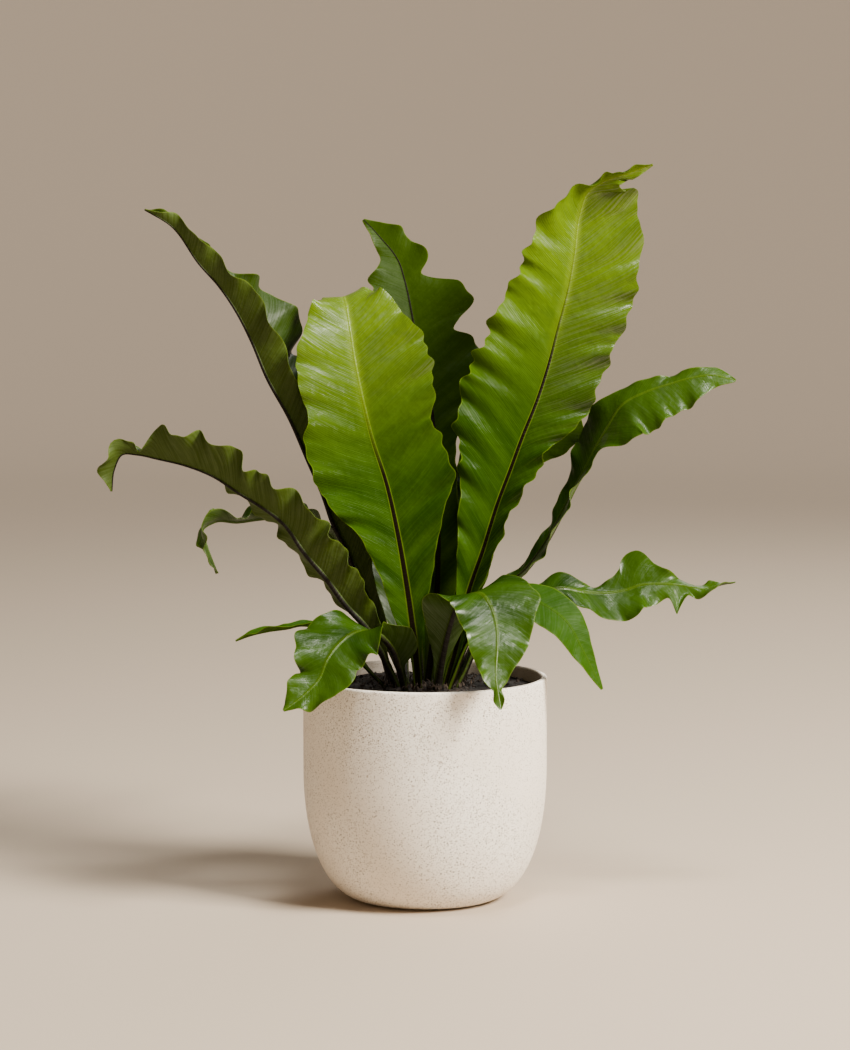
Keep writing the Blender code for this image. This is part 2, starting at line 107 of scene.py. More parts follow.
LEAF_THICK = 0.0006
FOOT_BURIED = 0.005  # stipe below the crown's surface
SOIL_DEPTH = 0.012
CROWN_DEPTH = 0.010  # rootstock below the soil's surface
CROWN_SHOULDER = 0.004  # how far below the soil's surface its dome starts
BARK_CHIPS = 420
PERLITE_GRAINS = 36
CROWN_SCALES = 260

# Relief in metres, and how often it turns in a metre.
SOIL_WAVES, SOIL_WAVE_RATE = 0.0012, 45
SOIL_LUMPS, SOIL_LUMP_RATE = 0.0011, 120
CROWN_LUMPS, CROWN_LUMP_RATE = 0.0012, 190
CROWN_SUNK = 0.0004  # keeps the lumps' mean below the plain dome

# Each frond has the stations of its CAD solid from foot to tip: x, y, height above the soil, and the half
# widths of the blade on the left and right, seen from the side of its upper face, all in millimetres.
# "facing" is the compass angle to which the upper face looks at the foot, in degrees from +X. "fold" lifts
# the left and right half blades towards the upper face, "curl" bends them further on the way to the margin
# and "roll" turns the whole blade about its midrib, in degrees at shares of the length. "lean" turns the
# veins of each half tipwards, in degrees. "ruffle" is the height, wavelength and phase of the waves on each
# margin, and "stipe" the thickness of the stipe as a share of the usual one.
FRONDS = {
    "frond_front_left": {
        "facing": -90,
        "stations": [
            (-5, -22, 0, 3, 3), (-7, -22, 30, 5, 5), (-10, -20, 54, 13, 11), (-14, -18, 81, 18, 20),
            (-20, -14, 115, 28, 33), (-28, -8, 150, 48, 51), (-39, -1, 184, 51, 47),
            (-45, 6, 208, 43, 55), (-51, 15, 236, 45, 56), (-56, 28, 266, 34, 42),
            (-59, 42, 282, 25, 29), (-61, 56, 286, 18, 19), (-63, 72, 281, 9, 10),
            (-63, 82, 273, 1, 1),
        ],
        "fold": ([(0, 25), (0.3, 14), (1, 10)], [(0, 25), (0.3, 10), (1, 6)]),
        "ruffle": ((2.5, 31, 0.1), (2.5, 29, 0.6)),
    },
    "frond_tall": {
        "facing": -90,
        "stations": [
            (16, -10, 0, 3, 3), (24, -9, 32, 6, 6), (33, -5, 72, 11, 12), (43, -2, 101, 21, 14),
            (54, 2, 136, 31, 17), (63, 4, 160, 42, 22), (71, 6, 182, 53, 24), (83, 9, 212, 58, 40),
            (91, 11, 237, 53, 42), (98, 14, 264, 49, 46), (105, 17, 290, 42, 50),
            (110, 20, 317, 36, 50), (114, 24, 346, 28, 44), (120, 22, 363, 12, 36),
            (132, 16, 371, 5, 12), (150, 10, 377, 6, 6), (166, 6, 383, 1, 1),
        ],
        "fold": ([(0, 25), (0.3, 8), (1, 8)], [(0, 60), (0.3, 50), (0.5, 20), (1, 10)]),
        "curl": ([(0, 0), (0.76, 0), (0.88, 60), (1, 60)], 0),
        "lean": (0, [(0, 0), (0.72, 0), (0.84, 25), (0.91, 55), (0.96, 40), (1, 0)]),
        "ruffle": ((3, 29, 0.3), (3, 27, 0.0)),
    },
    "frond_lobed": {
        "facing": -90,
        "stations": [
            (2, 4, 0, 3, 3), (6, 8, 33, 6, 6), (9, 12, 70, 12, 14), (10, 18, 107, 18, 18),
            (10, 30, 150, 22, 14), (7, 42, 187, 30, 18), (3, 52, 215, 36, 40), (-2, 60, 236, 34, 46),
            (-7, 68, 256, 26, 31), (-10, 75, 273, 22, 46), (-13, 81, 288, 28, 42),
            (-16, 87, 300, 27, 14), (-20, 92, 312, 20, 24), (-25, 95, 320, 12, 17),
            (-32, 98, 328, 8, 17), (-39, 100, 336, 5, 9), (-47, 102, 344, 1, 1),
        ],
        "fold": (8, 8),
        "ruffle": ((2, 35, 0.2), (2, 33, 0.7)),
    },
    "frond_left_tall": {
        "facing": 0,
        "stations": [
            (-14, -6, 0, 3, 3), (-23, -2, 23, 4, 4), (-35, 2, 47, 8, 6), (-45, 6, 69, 12, 8),
            (-58, 11, 100, 18, 10), (-68, 14, 120, 22, 12), (-75, 16, 140, 22, 14),
            (-86, 18, 165, 20, 22), (-100, 19, 197, 22, 34), (-116, 18, 226, 22, 42),
            (-128, 15, 255, 22, 50), (-139, 10, 277, 22, 38), (-151, 5, 295, 18, 18),
            (-164, 0, 310, 16, 13), (-185, -8, 339, 9, 9), (-203, -12, 350, 1, 1),
        ],
        "fold": ([(0, 40), (0.3, 65), (1, 60)], [(0, 40), (0.4, 60), (0.6, 50), (1, 50)]),
        "ruffle": ((4, 42, 0.1), (7, 40, 0.5)),
    },
    "frond_left_arching": {
        "facing": 0,
        "stations": [
            (-21, -13, 0, 3, 3), (-31, -15, 25, 5, 5), (-41, -17, 43, 12, 8), (-59, -20, 64, 21, 12),
            (-71, -22, 81, 25, 14), (-89, -24, 103, 28, 16), (-102, -25, 122, 27, 16),
            (-120, -26, 136, 25, 14), (-133, -26, 144, 24, 12), (-155, -25, 158, 32, 12),
            (-173, -25, 165, 30, 12), (-194, -24, 170, 30, 12), (-209, -23, 173, 8, 6),
            (-220, -22, 173, 12, 10), (-226, -22, 162, 12, 10), (-228, -22, 146, 1, 1),
        ],
        "fold": ([(0, 40), (0.2, 72), (0.6, 62), (1, 50)],
                 [(0, 20), (0.15, -20), (0.5, -35), (0.7, 0), (1, 30)]),
        "ruffle": ((5, 24, 0.1), (3, 30, 0.5)),
    },
    "frond_left_back": {
        "facing": 0,
        "stations": [
            (-25, 5, 0, 3, 3), (-32, 12, 26, 4, 4), (-40, 20, 50, 5, 5), (-49, 28, 71, 7, 8),
            (-58, 36, 90, 12, 12), (-69, 40, 106, 18, 18), (-85, 40, 117, 18, 18),
            (-101, 38, 122, 14, 16), (-122, 34, 121, 12, 16), (-140, 29, 119, 12, 14),
            (-156, 20, 120, 14, 12), (-165, 18, 114, 10, 8), (-162, 17, 103, 6, 5),
            (-158, 16, 92, 5, 4), (-154, 16, 82, 1, 1),
        ],
        "fold": (20, 30),
        "ruffle": ((4, 34, 0.1), (4, 30, 0.5)),
    },
    "frond_left_small": {
        "facing": 0,
        "stations": [
            (-31, -10, 0, 2, 2), (-40, -14, 13, 2, 2), (-49, -17, 23, 3, 3), (-62, -20, 35, 5, 5),
            (-78, -22, 46, 8, 7), (-91, -23, 48, 5, 5), (-100, -24, 46, 4, 4),
            (-114, -25, 44, 9, 6), (-127, -26, 41, 5, 4), (-138, -27, 37, 1, 1),
        ],
        "stipe": 0.7,
        "fold": ([(0, 0), (0.35, 45), (1, 45)], [(0, 0), (0.35, 20), (1, 20)]),
        "ruffle": ((1, 30, 0.1), (1, 30, 0.5)),
    },
    "frond_front_low": {
        "facing": 45,
        "stations": [
            (-15, -27, 0, 3, 3), (-19, -30, 18, 5, 4), (-23, -33, 30, 20, 8), (-28, -37, 38, 22, 12),
            (-35, -42, 45, 12, 15), (-42, -47, 47, 20, 19), (-52, -55, 46, 28, 28),
            (-62, -64, 39, 30, 32), (-70, -73, 29, 26, 26), (-75, -80, 17, 24, 18),
            (-86, -88, 6, 15, 16), (-100, -95, -4, 1, 1),
        ],
        "roll": [(0, 0), (0.3, -10), (0.5, -35), (1, -35)],
        "fold": ([(0, 0), (0.25, 40), (0.38, 30), (0.5, 5), (1, 5)], 5),
        "ruffle": ((3, 36, 0.1), (3, 34, 0.5)),
    },
    "frond_front_right": {
        "facing": 117,
        "stations": [
            (9, -25, 0, 3, 3), (13, -27, 27, 6, 8), (18, -31, 49, 14, 20), (23, -36, 64, 20, 27),
            (30, -44, 72, 24, 26), (40, -56, 75, 32, 26), (47, -68, 67, 35, 27), (51, -80, 52, 27, 23),
            (51, -90, 40, 21, 21), (50, -98, 27, 14, 13), (50, -105, 18, 8, 9),
            (51, -109, 12, 3, 3), (52, -112, 6, 4, 4), (53, -115, 0, 1, 1),
        ],
        "roll": [(0, 0), (0.3, 0), (0.55, 40), (1, 40)],
        "fold": (5, 5),
        "ruffle": ((2, 36, 0.1), (2, 34, 0.5)),
    },
    "frond_right_pointed": {
        "facing": 180,
        "stations": [
            (18, -19, 0, 3, 3), (28, -20, 30, 4, 4), (40, -21, 53, 6, 6), (55, -22, 67, 9, 9),
            (71, -23, 69, 13, 13), (87, -25, 63, 16, 18), (103, -27, 51, 15, 17),
            (114, -29, 32, 9, 11), (122, -30, 16, 5, 6), (129, -31, 2, 1, 1),
        ],
        "roll": [(0, 0), (0.4, 25), (0.6, 45), (1, 45)],
        "fold": (5, 5),
        "ruffle": ((0.6, 36, 0.1), (0.6, 34, 0.5)),
    },
    "frond_right_low": {
        "facing": 180,
        "stations": [
            (25, -11, 0, 3, 3), (36, -10, 28, 4, 4), (52, -8, 51, 5, 5), (70, -3, 63, 7, 7),
            (89, 3, 70, 12, 8), (100, 6, 72, 16, 10), (118, 9, 69, 8, 18), (133, 10, 68, 9, 26),
            (148, 10, 70, 18, 26), (160, 10, 74, 30, 22), (170, 9, 75, 17, 18), (180, 8, 75, 10, 11),
            (189, 8, 74, 9, 25), (196, 7, 73, 6, 8), (209, 6, 72, 8, 8), (219, 5, 75, 5, 5),
            (229, 4, 77, 1, 1),
        ],
        "fold": ([(0, 20), (0.5, 55), (0.72, 75), (0.85, 40), (1, 10)],
                 [(0, 20), (0.45, -50), (0.75, -65), (0.85, -75), (0.9, -40), (1, 0)]),
        "ruffle": ((3, 36, 0.1), (3, 34, 0.5)),
    },
    "frond_right_tall": {
        "facing": 180,
        "stations": [
            (23, -2, 0, 3, 3), (33, -1, 26, 4, 4), (45, 0, 53, 5, 5), (55, 1, 70, 7, 7),
            (74, 2, 86, 8, 14), (87, 3, 103, 8, 16), (100, 4, 126, 9, 16), (110, 5, 146, 12, 12),
            (118, 5, 161, 18, 12), (126, 5, 177, 24, 16), (134, 4, 191, 24, 30),
            (145, 2, 208, 15, 36), (161, -1, 217, 11, 34), (178, -4, 223, 9, 28),
            (195, -8, 228, 8, 22), (210, -11, 230, 8, 12), (226, -14, 226, 1, 1),
        ],
        "roll": [(0, 0), (0.55, 0), (0.75, 30), (1, 30)],
        "fold": ([(0, 30), (0.5, 40), (0.7, 20), (1, 10)],
                 [(0, 20), (0.2, -10), (0.5, 0), (0.65, -10), (1, -20)]),
        "ruffle": ((2, 36, 0.1), (2, 34, 0.5)),
    },
    "frond_right_back": {
        "facing": -110,
        "stations": [
            (18, 4, 0, 3, 3), (25, 10, 30, 5, 5), (34, 17, 62, 10, 7), (45, 23, 95, 15, 7),
            (57, 28, 125, 20, 5), (70, 33, 151, 24, 6), (82, 37, 170, 26, 12),
            (93, 40, 183, 22, 22), (101, 43, 191, 16, 23), (108, 47, 198, 8, 12),
            (112, 50, 203, 1, 1),
        ],
        "fold": (20, 10),
        "ruffle": ((2, 36, 0.1), (2, 34, 0.5)),
    },
    "frond_back_left": {
        "facing": -70,
        "stations": [
            (-15, 4, 0, 3, 3), (-17, 10, 26, 5, 5), (-22, 22, 54, 12, 12), (-28, 36, 82, 20, 20),
            (-35, 50, 119, 24, 24), (-43, 62, 156, 30, 30), (-49, 74, 193, 34, 34),
            (-53, 88, 226, 30, 30), (-56, 104, 249, 20, 20), (-58, 124, 256, 1, 1),
        ],
        "fold": (15, 15),
        "ruffle": ((3, 30, 0.1), (3, 30, 0.5)),
    },
    "frond_back_right": {
        "facing": -120,
        "stations": [
            (12, 15, 0, 3, 3), (20, 24, 40, 8, 8), (31, 38, 85, 16, 16), (44, 56, 130, 24, 24),
            (57, 80, 175, 30, 30), (70, 110, 210, 30, 30), (84, 144, 226, 22, 22),
            (96, 174, 218, 12, 12), (104, 196, 198, 1, 1),
        ],
        "fold": (15, 15),
        "ruffle": ((3, 36, 0.1), (3, 34, 0.5)),
    },
    "frond_back": {
        "facing": -90,
        "stations": [
            (-3, 16, 0, 3, 3), (-6, 28, 40, 8, 8), (-11, 44, 80, 15, 15), (-17, 66, 122, 22, 22),
            (-22, 98, 164, 28, 28), (-26, 138, 192, 28, 28), (-28, 178, 196, 22, 22),
            (-28, 210, 176, 12, 12), (-26, 230, 150, 1, 1),
        ],
        "fold": (15, 15),
        "ruffle": ((3, 36, 0.1), (3, 34, 0.5)),
    },
    "frond_back_low": {
        "facing": -90,
        "stations": [
            (4, 25, 0, 3, 3), (3, 36, 30, 5, 5), (1, 52, 58, 10, 10), (-2, 76, 80, 16, 16),
            (-3, 106, 88, 22, 22), (-2, 136, 76, 20, 20), (0, 160, 52, 12, 12), (2, 174, 24, 1, 1),
        ],
        "fold": (15, 15),
        "ruffle": ((2, 30, 0.1), (2, 30, 0.5)),
    },
}

# What the eye sees of each frond. "tone" names its leaf material; the fronds in full light take the lit copy
# of the leaf colours, with painted light, and those in shadow the shaded copy, with painted shade. "dark"
# gives the shares of the length between which the black midrib turns green. "pleats" is the height of the
# soft folds along the veins in millimetres, and "scallop" how deep the margins are cut on the left and right,
# as a share of the width. "wax" is how strongly the left and right upper face mirror, as one number or at
# shares of the length.
LOOKS = {
    "frond_front_left": {
        "tone": "leaf_lit", "dark": (0.46, 0.66), "pleats": 0.15, "scallop": (0.02, 0.03),
        "wax": ([(0, 0.03), (0.55, 0.06), (0.75, 0.7), (1, 0.6)],
                [(0, 0.03), (0.55, 0.10), (0.72, 0.8), (1, 0.6)]),
    },
    "frond_tall": {
        "tone": "leaf_lit", "dark": (0.58, 0.80), "pleats": 0.18, "scallop": (0.05, 0.03),
        "wax": ([(0, 0.03), (0.7, 0.08), (1, 0.16)], [(0, 0.05), (0.4, 0.2), (0.6, 1.0), (1, 1.0)]),
    },
    "frond_lobed": {
        "tone": "leaf_shaded", "dark": (1.5, 2.0), "pleats": 0.2, "scallop": (0.07, 0.05), "wax": (0.15, 0.06),
    },
    "frond_left_tall": {
        "tone": "leaf_shaded", "dark": (1.5, 2.0), "pleats": 0.2, "scallop": (0.03, 0.06), "wax": (0.3, 0.3),
    },
    "frond_left_arching": {
        "tone": "leaf_shaded", "dark": (1.5, 2.0), "pleats": 0.2, "scallop": (0.05, 0.05), "wax": (0.3, 0.3),
    },
    "frond_left_back": {
        "tone": "leaf_mid", "dark": (0.3, 0.5), "pleats": 0.2, "scallop": (0.04, 0.04), "wax": (0.4, 0.4),
    },
    "frond_left_small": {
        "tone": "leaf_fresh", "dark": (0.2, 0.3), "pleats": 0.1, "scallop": (0.02, 0.02), "wax": (0.1, 0.1),
    },
    "frond_front_low": {
        "tone": "leaf_mid", "dark": (0.25, 0.4), "pleats": 0.25, "scallop": (0.03, 0.05), "wax": (0.35, 0.35),
    },
    "frond_front_right": {
        "tone": "leaf_mid", "dark": (0.3, 0.4), "pleats": 0.25, "scallop": (0.03, 0.03), "wax": (0.4, 0.4),
    },
    "frond_right_pointed": {
        "tone": "leaf_fresh", "dark": (0.3, 0.4), "pleats": 0.1, "scallop": (0.01, 0.01), "wax": (0.06, 0.06),
    },
    "frond_right_low": {
        "tone": "leaf_mid", "dark": (0.3, 0.5), "pleats": 0.2, "scallop": (0.03, 0.03), "wax": (0.3, 0.3),
    },
    "frond_right_tall": {
        "tone": "leaf_mid", "dark": (0.4, 0.6), "pleats": 0.2, "scallop": (0.02, 0.03), "wax": (0.4, 0.4),
    },
    "frond_right_back": {
        "tone": "leaf_shaded", "dark": (0.6, 0.8), "pleats": 0.2, "scallop": (0.03, 0.03), "wax": (0.2, 0.2),
    },
    "frond_back_left": {
        "tone": "leaf_shaded", "dark": (0.5, 0.7), "pleats": 0.25, "scallop": (0.03, 0.03), "wax": (0.3, 0.3),
    },
    "frond_back_right": {
        "tone": "leaf_mid", "dark": (0.5, 0.7), "pleats": 0.25, "scallop": (0.03, 0.03), "wax": (0.35, 0.35),
    },
    "frond_back": {
        "tone": "leaf_mid", "dark": (0.5, 0.7), "pleats": 0.25, "scallop": (0.03, 0.03), "wax": (0.35, 0.35),
    },
    "frond_back_low": {
        "tone": "leaf_mid", "dark": (0.4, 0.6), "pleats": 0.25, "scallop": (0.03, 0.03), "wax": (0.35, 0.35),
    },
}

# Leaf colours, linear RGB: painted shade in the folds, painted light on the ridges, then the colour towards
# the tip and on the lower face. "glow" is the strength of the soft pale band beside the midrib and "line"
# that of the pale line on it. "gloss" is the least roughness and "veins" how clearly the fine veins show.
TONES = {
    # A lit copy of the leaf colours for the fronds in full light: painted light, most of all towards the tip.
    "leaf_lit": {
        "shade": (0.009, 0.028, 0.0003), "light": (0.022, 0.056, 0.0004), "tip": (0.105, 0.175, 0.002),
        "under": (0.030, 0.055, 0.002), "glow": 0.45, "line": 0.6, "gloss": 0.16, "veins": 0.20,
    },
    "leaf_fresh": {
        "shade": (0.010, 0.036, 0.0003), "light": (0.018, 0.054, 0.0004), "tip": (0.021, 0.060, 0.0005),
        "under": (0.028, 0.060, 0.002), "glow": 0.0, "line": 0.2, "gloss": 0.30, "veins": 0.05,
    },
    "leaf_mid": {
        "shade": (0.007, 0.024, 0.0002), "light": (0.020, 0.053, 0.0003), "tip": (0.029, 0.068, 0.0004),
        "under": (0.022, 0.046, 0.002), "glow": 0.0, "line": 0.35, "gloss": 0.17, "veins": 0.04,
    },
    # A shaded copy of the leaf colours for the fronds in shadow: painted shade.
    "leaf_shaded": {
        "shade": (0.007, 0.020, 0.0003), "light": (0.019, 0.040, 0.0005), "tip": (0.020, 0.042, 0.0005),
        "under": (0.032, 0.052, 0.003), "glow": 0.0, "line": 0.0, "gloss": 0.32, "veins": 0.05,
    },
}


# Shader helpers.

def put(tree, kind, inputs=(), **settings):
    """A node of this kind; inputs gives sockets, by name or number, a value or another socket."""
    node = tree.nodes.new(kind)
    for name, value in settings.items():
        setattr(node, name, value)
    for name, value in dict(inputs).items():
        if isinstance(value, bpy.types.NodeSocket):
            tree.links.new(value, node.inputs[name])
        else:
            node.inputs[name].default_value = value
    return node


def maths(tree, operation, *values):
    """One sum on numbers and sockets."""
    return put(tree, "ShaderNodeMath", enumerate(values), operation=operation).outputs[0]


def blend(tree, share, low, high, mode="MIX"):
    """Mixes two colours; each is linear RGB or a socket."""
    low, high = ((*c, 1.0) if isinstance(c, tuple) else c for c in (low, high))
    node = put(tree, "ShaderNodeMix", {0: share, 6: low, 7: high}, data_type="RGBA", blend_type=mode)
    return node.outputs[2]


def ramp(tree, value, start, end, low=0.0, high=1.0):
    """Goes smoothly from low to high as value goes from start to end."""
    inputs = {"Value": value, "From Min": start, "From Max": end, "To Min": low, "To Max": high}
    return put(tree, "ShaderNodeMapRange", inputs, interpolation_type="SMOOTHSTEP").outputs[0]


def attribute(tree, name):
    """A number that the mesh carries at each point."""
    return put(tree, "ShaderNodeAttribute", attribute_name=name).outputs["Fac"]


def vector(tree, x, y, z):
    """Three numbers or sockets as one place."""
    return put(tree, "ShaderNodeCombineXYZ", {0: x, 1: y, 2: z}).outputs[0]


def clouds(tree, place, scale, detail=2.0, roughness=0.5):
    """Soft noise from 0 to 1."""
    inputs = {"Vector": place, "Scale": scale, "Detail": detail, "Roughness": roughness}
    return put(tree, "ShaderNodeTexNoise", inputs).outputs["Fac"]


def bump(tree, height, distance, strength=1.0, below=None):
    """The surface's direction with this relief on it; below is a coarser relief under it."""
    inputs = {"Height": height, "Distance": distance, "Strength": strength}
    if below is not None:
        inputs["Normal"] = below
    return put(tree, "ShaderNodeBump", inputs).outputs[0]


def new_material(name):
    """(material, node tree, Principled node)"""
    material = bpy.data.materials.new(name)
    material.use_nodes = True
    tree = material.node_tree
    return material, tree, tree.nodes["Principled BSDF"]


def object_place(tree):
    """The place on the object, in metres."""
    return put(tree, "ShaderNodeTexCoord").outputs["Object"]


# Materials.

VEIN_SPACING = 0.0014
VEIN_TURN = 0.35  # how much further than the folds the veins run tipwards
PATCHES, FOLDS, THREADS = 38.0, 60.0, 720.0  # for each metre along a leaf
FOLD_STRETCH, THREAD_STRETCH = 0.25, 0.035  # crosswise scale as a share of the lengthwise one
RIB_PALE = (0.16, 0.235, 0.010)
RIB_BLACK = (0.006, 0.004, 0.002)
STALK = (0.030, 0.044, 0.005)

CREAM, CREAM_PALE = (0.87, 0.785, 0.665), (0.94, 0.88, 0.775)
GRAIN = (0.52, 0.43, 0.34)
# Colour of the painted shade on the pot's inner wall.
POT_INSIDE_SHADE = (0.24, 0.19, 0.14)

# Cells for each metre, size of the speckles in a cell, share of the cells with one, and colour.
SPECKLES = [
    (1200.0, 0.42, 0.48, (0.34, 0.25, 0.17)),
    (780.0, 0.36, 0.40, (0.24, 0.17, 0.11)),
    (430.0, 0.25, 0.22, (0.13, 0.09, 0.06)),
]


def leaf_material(name, shade, light, tip, under, glow, line, gloss, veins):
    """A leaf in the colours and strengths that TONES gives."""
    material, tree, surface = new_material(name)
    vein, out, rib, margin, share, top, black, wax = (
        attribute(tree, key) for key in ("vein", "out", "rib", "margin", "share", "top", "black", "wax"))

    # Patterns drawn out along the veins: patches, folds, fine threads, and the veins' own beat.
    broad = clouds(tree, vector(tree, vein, out, share), PATCHES)
    fold_place = vector(tree, vein, maths(tree, "MULTIPLY", out, FOLD_STRETCH), top)
    fold = clouds(tree, fold_place, FOLDS, 3.0)
    thread_place = vector(tree, vein, maths(tree, "MULTIPLY", out, THREAD_STRETCH), top)
    thread = clouds(tree, thread_place, THREADS, 3.0, 0.65)
    jitter = maths(tree, "MULTIPLY", clouds(tree, vector(tree, vein, out, top), 160.0), 9.0)
    beat = maths(tree, "SINE", maths(tree, "MULTIPLY_ADD", vein, 2 * math.pi / VEIN_SPACING, jitter))

    # The upper face: painted shade in the folds, painted light on the ridges, lighter tip and veins; then the
    # lower face.
    colour = blend(tree, ramp(tree, fold, 0.30, 0.70), shade, light)
    colour = blend(tree, ramp(tree, share, 0.40, 0.95, 0.0, 0.9), colour, tip)
    colour = blend(tree, ramp(tree, broad, 0.40, 0.75, 0.0, 0.22), colour, shade)
    pale = tuple(1.7 * c for c in light)
    colour = blend(tree, ramp(tree, thread, 0.45, 0.75, 0.0, veins), colour, pale)
    colour = blend(tree, ramp(tree, beat, 0.25, 1.0, 0.0, 0.5 * veins), colour, pale)
    lower = blend(tree, ramp(tree, thread, 0.35, 0.7), under, tuple(1.3 * c for c in under))
    colour = blend(tree, top, lower, colour)

    # The pale band and line along the midrib, the stalk, the black midrib and the thin pale margin.
    band = maths(tree, "MULTIPLY", ramp(tree, rib, 6.0, 0.9), ramp(tree, share, 0.50, 0.85, 0.0, glow))
    colour = blend(tree, band, colour, RIB_PALE)
    edge = maths(tree, "MULTIPLY", ramp(tree, rib, 1.25, 0.95), ramp(tree, share, 0.1, 0.5, 0.5, line))
    colour = blend(tree, maths(tree, "MULTIPLY", edge, line), colour, RIB_PALE)
    stalk = maths(tree, "MULTIPLY", ramp(tree, rib, 1.6, 0.9), ramp(tree, share, 0.30, 0.02, 0.0, 0.8))
    colour = blend(tree, stalk, colour, STALK)
    core = maths(tree, "MULTIPLY", ramp(tree, rib, 0.92, 0.70), black)
    colour = blend(tree, core, colour, RIB_BLACK)
    rim = maths(tree, "MULTIPLY", ramp(tree, margin, 0.0009, 0.0003), ramp(tree, share, 0.1, 0.3, 0.0, 0.45))
    colour = blend(tree, rim, colour, tuple(0.5 * (a + b) for a, b in zip(RIB_PALE, light)))
    tree.links.new(colour, surface.inputs["Base Color"])

    # The upper face is the smoother one, and its threads mirror as strongly as its wax lets them.
    wear = maths(tree, "MULTIPLY_ADD", thread, 0.20, gloss)
    wear = maths(tree, "ADD", wear, ramp(tree, broad, 0.3, 0.7, 0.0, 0.12))
    wear = maths(tree, "ADD", wear, maths(tree, "MULTIPLY", maths(tree, "SUBTRACT", 1.0, top), 0.18))
    tree.links.new(wear, surface.inputs["Roughness"])
    streak = ramp(tree, thread, 0.40, 0.62, 0.5 - 2 * veins, 1.0)
    tree.links.new(maths(tree, "MULTIPLY", streak, wax), surface.inputs["Specular IOR Level"])
    relief = bump(tree, thread, 0.00035, 0.15 + 2 * veins)
    relief = bump(tree, beat, 0.00005, 0.1 + 2 * veins, relief)
    relief = bump(tree, clouds(tree, object_place(tree), 130.0, 2.0), 0.0014, 0.45, relief)
    tree.links.new(relief, surface.inputs["Normal"])
    return material


def stoneware_material():
    """Matt cream stoneware with many fine grey-brown iron speckles, and painted shade inside above the soil.
    """
    material, tree, surface = new_material("stoneware_speckled")
    place = object_place(tree)
    tide = clouds(tree, place, 14.0, 3.0)
    colour = blend(tree, ramp(tree, tide, 0.35, 0.7), CREAM, CREAM_PALE)
    grain = clouds(tree, place, 1500.0, 2.0)
    colour = blend(tree, ramp(tree, grain, 0.50, 0.75, 0.0, 0.35), colour, GRAIN)
    speck = 0.0
    for scale, size, share, tint in SPECKLES:
        cell = put(tree, "ShaderNodeTexVoronoi", {"Vector": place, "Scale": scale, "Randomness": 1.0})
        chance = put(tree, "ShaderNodeSeparateColor", {0: cell.outputs["Color"]}).outputs[0]
        chance = maths(tree, "ADD", chance, ramp(tree, tide, 0.3, 0.7, -0.12, 0.12))
        reach = maths(tree, "MULTIPLY", ramp(tree, chance, 1.0 - share, 1.0, 0.5, 1.0), size)
        dot = ramp(tree, maths(tree, "SUBTRACT", cell.outputs["Distance"], reach), 0.05, -0.05)
        dot = maths(tree, "MULTIPLY", dot, ramp(tree, chance, 0.98 - share, 1.02 - share, 0.0, 0.9))
        colour = blend(tree, dot, colour, tint)
        speck = maths(tree, "MAXIMUM", dot, speck)
    # Painted shade on the inner wall, strongest from just under the soil up to the rim.
    axes = put(tree, "ShaderNodeSeparateXYZ", {0: place}).outputs
    level = put(tree, "ShaderNodeVectorMath", {0: vector(tree, axes[0], axes[1], 0.0)}, operation="LENGTH")
    inside = ramp(tree, level.outputs["Value"], POT_R - 0.5 * POT_WALL, POT_R - 0.8 * POT_WALL)
    inside = maths(tree, "MULTIPLY", inside, ramp(tree, axes[2], BELLY_H, SOIL_Z - 0.01, 0.0, 0.7))
    colour = blend(tree, inside, colour, POT_INSIDE_SHADE)
    tree.links.new(colour, surface.inputs["Base Color"])
    rough = maths(tree, "MULTIPLY_ADD", grain, 0.2, 0.60)
    tree.links.new(rough, surface.inputs["Roughness"])
    relief = bump(tree, clouds(tree, place, 260.0, 4.0, 0.6), 0.0006, 0.35)
    relief = bump(tree, speck, 0.0002, 0.4, relief)
    tree.links.new(relief, surface.inputs["Normal"])
    return material


def crumb_material(name, dark, light, scale, rough):
    """Soil, bark and other crumbling matter: two mottled colours on a rough surface."""
    material, tree, surface = new_material(name)
    place = object_place(tree)
    mottle = clouds(tree, place, scale, 5.0, 0.65)
    tree.links.new(blend(tree, ramp(tree, mottle, 0.35, 0.7), dark, light), surface.inputs["Base Color"])
    tree.links.new(ramp(tree, mottle, 0.2, 0.8, rough, rough - 0.2), surface.inputs["Roughness"])
    tree.links.new(bump(tree, clouds(tree, place, scale * 3, 6.0, 0.7), 0.001, 0.9), surface.inputs["Normal"])
    return material


# Mesh helpers.

def add_piece(name, points, faces, material, slot, replaced=None, sharp=60, **attributes):
    """A smooth mesh piece that rides on the part; replaced names the CAD node it stands for."""
    mesh = bpy.data.meshes.new(name)
    mesh.from_pydata(np.asarray(points).tolist(), [], faces)
    for key, values in attributes.items():
        mesh.attributes.new(key, "FLOAT", "POINT").data.foreach_set("value", values.astype(np.float32))
    mesh.materials.append(material)
    mesh.shade_smooth()
    mesh.set_sharp_from_angle(angle=math.radians(sharp))
    obj = bpy.data.objects.new(name, mesh)
    bpy.context.scene.collection.objects.link(obj)
    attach(obj, "root")
    if replaced:
        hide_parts(replaced)
    return obj


